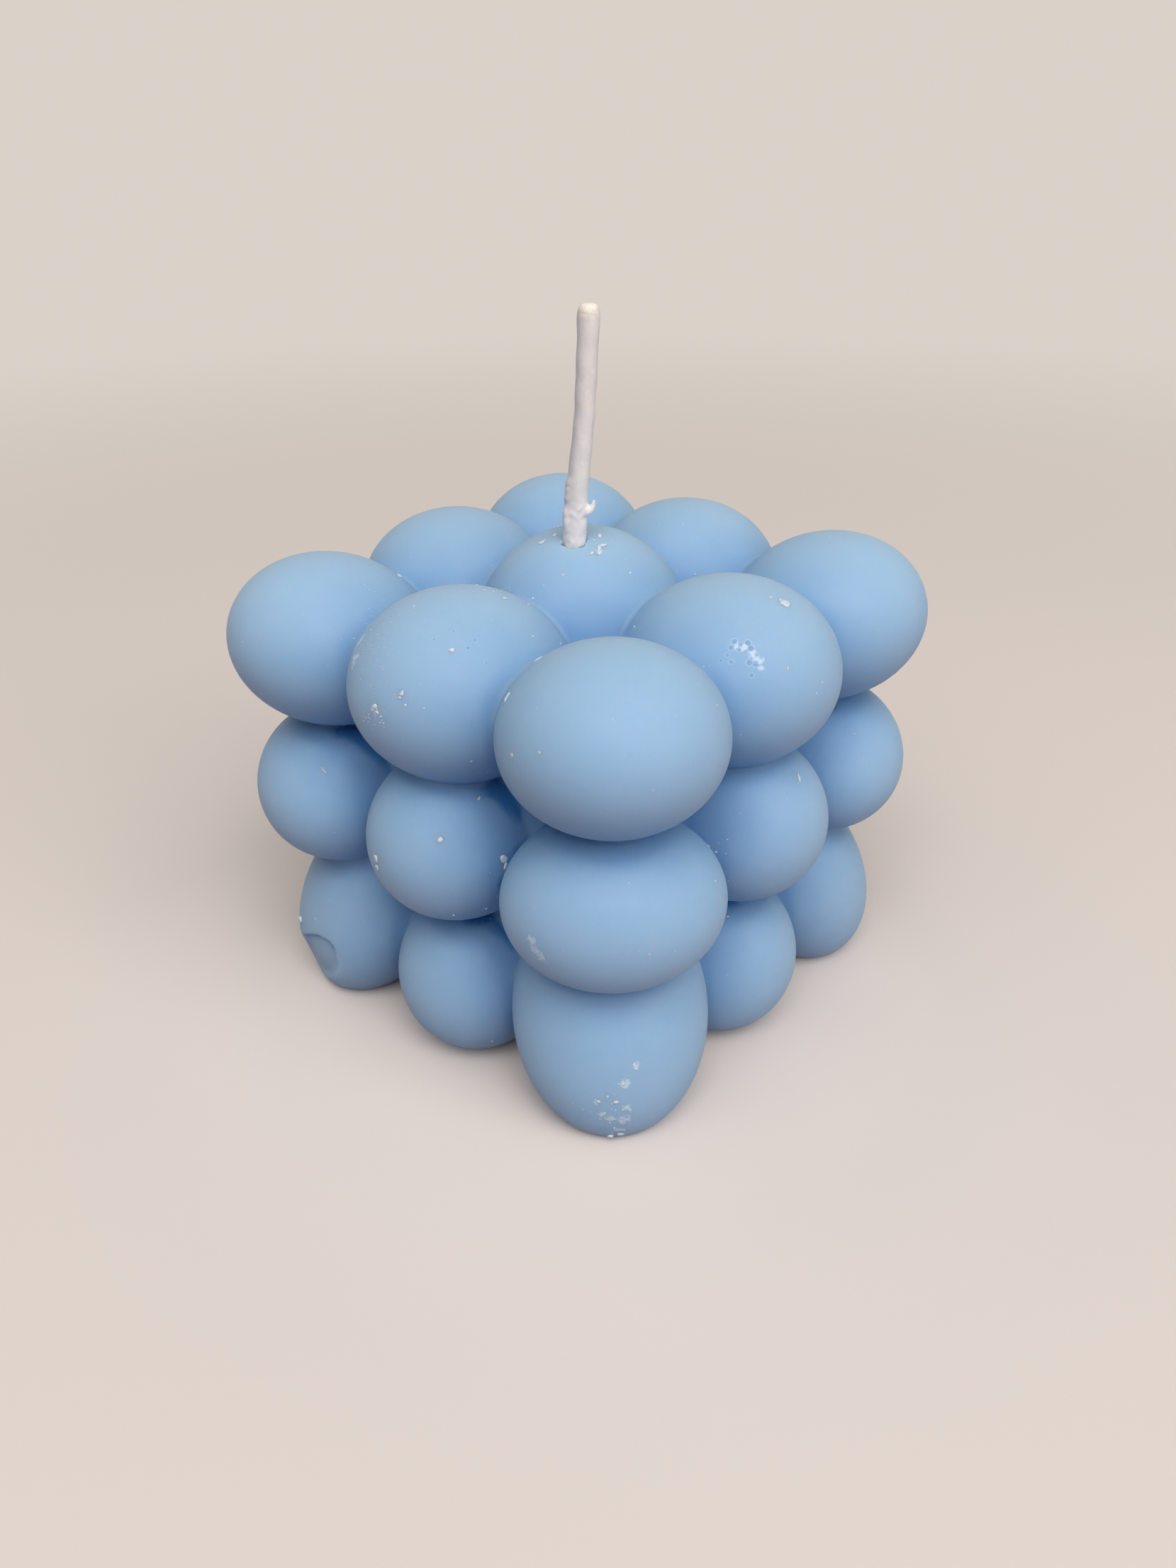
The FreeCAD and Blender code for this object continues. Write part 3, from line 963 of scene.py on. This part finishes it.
def wax_material():
    """Light blue wax: satin, with light that spreads under its surface."""
    wax = Nodes(bpy.data.materials.new("light_blue_wax"))
    pit = closest(wax, [(x, y, PIT_MARK * radius) for x, y, radius in PITS])
    hole = wax.spread(pit, *PIT_HOLE)
    rim = wax.math("SUBTRACT", wax.spread(pit, *PIT_RIM), hole)
    deep = wax.marked("painted_shade_share")
    frost = wax.math("MULTIPLY", closest(wax, FROSTED), FROST_PATCH)
    frost = wax.spread(wax.math("ADD", frost, wax.noise(*FROST_NOISE)), *FROST_LIMITS)
    frost = wax.math("MAXIMUM", frost, wax.math("MULTIPLY", rim, FROST_RIM))
    mottle = (
        wax.math("MULTIPLY", wax.noise(grain, detail), share) for grain, detail, share in MOTTLE
    )
    body = wax.tint(wax.math("ADD", *mottle), BODY_DARK, BODY_LIGHT)
    # Painted shade: the wax is darkened towards deep blue in creases and deep pits, by the share
    # marked on the mesh.
    body = wax.tint(deep, body, PAINTED_DEEP_SHADE)
    body = wax.tint(wax.math("MULTIPLY", frost, FROST_COVER), body, FROST_WAX)
    # Painted shade in the holes of the small pits.
    body = wax.tint(wax.math("MULTIPLY", hole, PIT_COVER), body, PAINTED_PIT_SHADE)
    wax.shade(
        Base_Color=body,
        Subsurface_Weight=wax.spread(frost, 0, 1, 1.0, 0.4),
        Subsurface_Radius=(0.35, 0.7, 1.0),
        Subsurface_Scale=1.6 * METRES,
        IOR=1.44,
        # Less reflection where shade is painted in creases and pits.
        Specular_IOR_Level=wax.spread(deep, 0.3, 0.9, 0.3, 0.0),
        Roughness=wax.patchy(3.0, 0.50, 0.60),
    )
    relief = wax.math("ADD", wax.math("MULTIPLY", wax.noise(0.4, 4), WAX_GRAIN), frost)
    wax.bump(wax.math("SUBTRACT", relief, hole), 0.5, WAX_RELIEF)
    return wax.material


# The two tints of the crumbs.
CRUMB_DARK = (0.50, 0.65, 0.78, 1)
CRUMB_LIGHT = (0.70, 0.80, 0.87, 1)


def crumb_material():
    """Crumbs and flakes of pale wax."""
    crumb = Nodes(bpy.data.materials.new("pale_wax_crumbs"))
    crumb.shade(
        Base_Color=crumb.tint(crumb.noise(0.6), CRUMB_DARK, CRUMB_LIGHT),
        Subsurface_Weight=0.5,
        Subsurface_Radius=(1.0, 1.0, 1.0),
        Subsurface_Scale=0.2 * METRES,
        Roughness=crumb.patchy(0.3, 0.45, 0.65),
    )
    crumb.bump(crumb.noise(0.2, 4), 0.5, 0.05)
    return crumb.material


# Colours of the wick: its cotton between two tints, the fibres in it, the white wax over it,
# its cut tip between two tints, and a tan band under the tip.
COTTON_DARK = (0.72, 0.72, 0.68, 1)
COTTON_LIGHT = (0.82, 0.81, 0.76, 1)
FIBRES = (0.88, 0.86, 0.83, 1)
WHITE_WAX = (0.82, 0.82, 0.83, 1)
CREAM_DARK = (0.80, 0.77, 0.68, 1)
CREAM_LIGHT = (0.92, 0.90, 0.83, 1)
TAN = (0.80, 0.74, 0.64, 1)

# Heights on the wick: up to where the white wax is thick, from where it is thin, the middle of
# the tan band, how far from it the band is full and ends, and where the cut tip begins and is
# full, with a ragged border that reaches down this far.
WHITE_THICK = 56.0
WHITE_THIN = 62.0
BAND = 69.0
BAND_FULL = 0.2
BAND_END = 0.5
CUT_BEGIN = 77.3
CUT_FULL = 77.9
CUT_RAGGED = 0.8
# How much the white wax covers where it is thin and where it is thick.
WHITE_COVER = (0.25, 0.95)


def wick_material():
    """White cotton soaked in wax, cream where the wax has left it."""
    wick = Nodes(bpy.data.materials.new("waxed_cotton"))
    split = wick.tree.nodes.new("ShaderNodeSeparateXYZ")
    wick.feed(split.inputs["Vector"], wick.place)
    height = split.outputs["Z"]

    body = wick.tint(wick.noise(1.2), COTTON_DARK, COTTON_LIGHT)
    fibres = wick.spread(wick.noise(0.45), 0.52, 0.68)
    body = wick.tint(wick.math("MULTIPLY", fibres, 0.5), body, FIBRES)
    white = wick.spread(height, WHITE_THIN * METRES, WHITE_THICK * METRES, *WHITE_COVER)
    body = wick.tint(white, body, WHITE_WAX)

    ragged = wick.math("MULTIPLY", wick.noise(0.4), CUT_RAGGED * METRES)
    ragged = wick.math("ADD", height, ragged)
    cut = wick.spread(ragged, CUT_BEGIN * METRES, CUT_FULL * METRES)
    cream = wick.spread(wick.noise(0.35), 0.4, 0.6)
    body = wick.tint(cut, body, wick.tint(cream, CREAM_DARK, CREAM_LIGHT))

    off_band = wick.math("ABSOLUTE", wick.math("SUBTRACT", height, BAND * METRES))
    band = wick.spread(off_band, BAND_END * METRES, BAND_FULL * METRES)
    band = wick.math("MULTIPLY", band, wick.spread(wick.noise(0.9), 0.35, 0.6))
    body = wick.tint(wick.math("MULTIPLY", band, 0.7), body, TAN)

    wick.shade(
        Base_Color=body,
        Subsurface_Weight=0.8,
        Subsurface_Radius=(1.0, 0.95, 0.9),
        Subsurface_Scale=0.8 * METRES,
        Roughness=wick.patchy(0.8, 0.42, 0.62),
    )
    wick.bump(wick.noise(0.3, 4), 0.6, 0.06)
    return wick.material


# The floor and the far background as they are seen, and the dimmer, faintly violet floor that
# throws light back on the candle.
FLOOR_COLOUR = (0.76, 0.74, 0.70, 1)
FLOOR_BOUNCE = (0.23, 0.205, 0.275, 1)
BACKGROUND = (0.70, 0.64, 0.585, 1)
# In metres: half the floor's width, and the distances between which it passes into the
# background.
FLOOR_HALF = 4.0
FLOOR_NEAR = 0.10
FLOOR_FAR = 0.50
# The colour and the strength of the light from all round.
SKY = (1.0, 0.97, 0.92, 1)
SKY_STRENGTH = 0.03


def seen_rays(nodes):
    """1 for what the camera sees, straight or mirrored, and 0 for light on its way."""
    rays = nodes.tree.nodes.new("ShaderNodeLightPath").outputs
    seen = nodes.math("MAXIMUM", rays["Is Camera Ray"], rays["Is Glossy Ray"])
    return nodes.math("MAXIMUM", seen, rays["Is Transmission Ray"])


def add_floor():
    """The plain pale floor, which passes into the plain background far from the candle."""
    mesh = bpy.data.meshes.new("floor")
    corners = [
        (x * FLOOR_HALF, y * FLOOR_HALF, 0) for x, y in ((-1, -1), (1, -1), (1, 1), (-1, 1))
    ]
    mesh.from_pydata(corners, [], [(0, 1, 2, 3)])
    floor = bpy.data.objects.new("floor", mesh)
    bpy.context.scene.collection.objects.link(floor)
    pale = Nodes(bpy.data.materials.new("pale_floor"))
    seen = seen_rays(pale)
    pale.shade(Base_Color=pale.tint(seen, FLOOR_BOUNCE, FLOOR_COLOUR), Roughness=0.9)
    glow = pale.tree.nodes.new("ShaderNodeEmission")
    glow.inputs["Color"].default_value = BACKGROUND
    far = pale.tree.nodes.new("ShaderNodeVectorMath")
    far.operation = "LENGTH"
    pale.feed(far.inputs[0], pale.place)
    far = pale.spread(far.outputs["Value"], FLOOR_NEAR, FLOOR_FAR)
    mix = pale.tree.nodes.new("ShaderNodeMixShader")
    pale.feed(mix.inputs["Fac"], pale.math("MULTIPLY", far, seen))
    pale.feed(mix.inputs[1], pale.shader.outputs["BSDF"])
    pale.feed(mix.inputs[2], glow.outputs["Emission"])
    pale.feed(pale.tree.nodes["Material Output"].inputs["Surface"], mix.outputs["Shader"])
    mesh.materials.append(pale.material)


def add_sky():
    """A faint sky all round that the camera sees as the plain background."""
    world = bpy.data.worlds.new("world")
    bpy.context.scene.world = world
    sky = Nodes(world, "Background")
    seen = seen_rays(sky)
    sky.feed(sky.shader.inputs["Color"], sky.tint(seen, SKY, BACKGROUND))
    sky.feed(sky.shader.inputs["Strength"], sky.spread(seen, 0, 1, SKY_STRENGTH, 1.0))


# The soft lights, the strongest over the camera: name, degrees around from X, degrees up, and
# power. Each is a square, of this size and this far away in metres.
LAMPS = (
    ("key", -50.5, 50, 10.0),
    ("high", -50.5, 72, 5.0),
    ("right", -10, 45, 8.2),
    ("low_right", 0, 14, 3.6),
    ("left", -95, 45, 3.0),
    ("far_left", 189.5, 50, 1.3),
    ("back", 110, 40, 0.6),
)
LAMP_SIZE = 0.95
LAMP_DISTANCE = 1.5
LAMP_COLOUR = (1.0, 0.90, 0.87)


def add_light(name, turn, raised, power):
    """A square soft light that looks at the candle from some degrees around and above."""
    data = bpy.data.lights.new(name, "AREA")
    data.size = LAMP_SIZE
    data.energy = power
    data.color = LAMP_COLOUR
    light = bpy.data.objects.new(name, data)
    bpy.context.scene.collection.objects.link(light)
    axes = turn_matrix(2, turn) @ turn_matrix(1, -raised)
    matrix = np.eye(4)
    matrix[:3, :3] = np.stack((axes[:, 1], axes[:, 2], axes[:, 0]), axis=1)
    matrix[:3, 3] = axes[:, 0] * LAMP_DISTANCE
    light.matrix_world = matrix.T


add_camera()
for lamp in LAMPS:
    add_light(*lamp)
add_sky()
add_floor()
wax = field_mesh("wax_bubbles", wax_field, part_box("wax_body"), *WAX_GRID)
new_piece("wax_bubbles", wax, wax_material(), "wax", "wax_body")
new_piece("wax_crumbs", flake_mesh("wax_crumbs", wax), crumb_material(), "wax")
wick = field_mesh("waxed_wick", wick_field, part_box("wick"), *WICK_GRID)
new_piece("waxed_wick", wick, wick_material(), "wick", "wick")

bpy.context.scene.view_settings.view_transform = "Standard"
